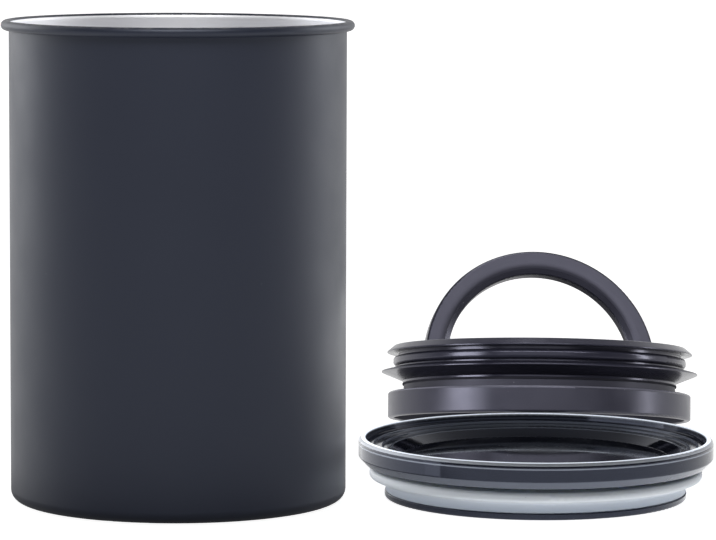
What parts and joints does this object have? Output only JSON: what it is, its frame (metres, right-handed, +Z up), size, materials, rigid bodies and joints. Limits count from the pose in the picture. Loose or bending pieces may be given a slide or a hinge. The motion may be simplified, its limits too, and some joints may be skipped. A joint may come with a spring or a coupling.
{
  "type": "coffee canister with valve",
  "caption": "Open round steel canister with a rolled rim, its clear outer lid with gasket, and a leaning inner lid with wiper gasket, folding handle and air valve.",
  "frame": {"origin": "centre of the canister's base, on the surface it stands on", "axes": "+Z up along the canister, +X towards the two lids that lie beside it, +Y away from the viewer"},
  "size_m": [0.2597, 0.2496, 0.1715],
  "materials": {
    "coated_steel": "matte charcoal powder coat outside, bare satin steel inside",
    "smoke_plastic": "clear glossy plastic tinted dark smoke",
    "frosted_silicone": "translucent frosted silicone",
    "black_plastic": "satin moulded plastic",
    "black_silicone": "soft satin silicone",
    "handle_plastic": "finely textured moulded plastic",
    "steel": "drawn stainless wire and rod",
    "valve_plastic": "natural grey moulded plastic",
    "valve_silicone": "grey silicone"
  },
  "bodies": {
    "canister": {"canister_shell": "coated_steel"},
    "outer_lid": {"outer_lid_shell": "smoke_plastic", "outer_lid_gasket": "frosted_silicone"},
    "inner_lid": {"inner_lid_base": "black_plastic", "inner_lid_ring": "black_plastic", "wiper_gasket": "black_silicone", "valve_housing": "black_plastic", "valve_cap": "black_plastic", "valve_spring": "steel"},
    "handle": {"handle_front": "handle_plastic", "handle_back": "handle_plastic", "pivot_rod": "steel", "valve_cam": "valve_plastic"},
    "valve": {"valve_plunger": "valve_plastic", "valve_seal": "valve_silicone"}
  },
  "joints": [
    {"name": "outer_lid_lift", "type": "slide", "parent": "canister", "child": "outer_lid", "axis": [0, 0, 1], "range_m": [0, 0.12]},
    {"name": "inner_lid_lift", "type": "slide", "parent": "outer_lid", "child": "inner_lid", "axis": [0, 0, 1], "range_m": [0, 0.12]},
    {"name": "handle_fold", "type": "hinge", "parent": "inner_lid", "child": "handle", "pos_m": [0.13554, 0.12718, 0.03222], "axis": [0.9875, 0.1525, -0.0406], "range_deg": [0, 104]},
    {"name": "valve_travel", "type": "slide", "parent": "inner_lid", "child": "valve", "axis": [0.011, 0.1899, 0.9817], "range_m": [-0.0024, 0], "deforming": ["valve_spring"]}
  ],
  "couplings": [
    {"joint": "valve_travel", "follows": "handle_fold", "m_per_rad": -0.0013222}
  ]
}
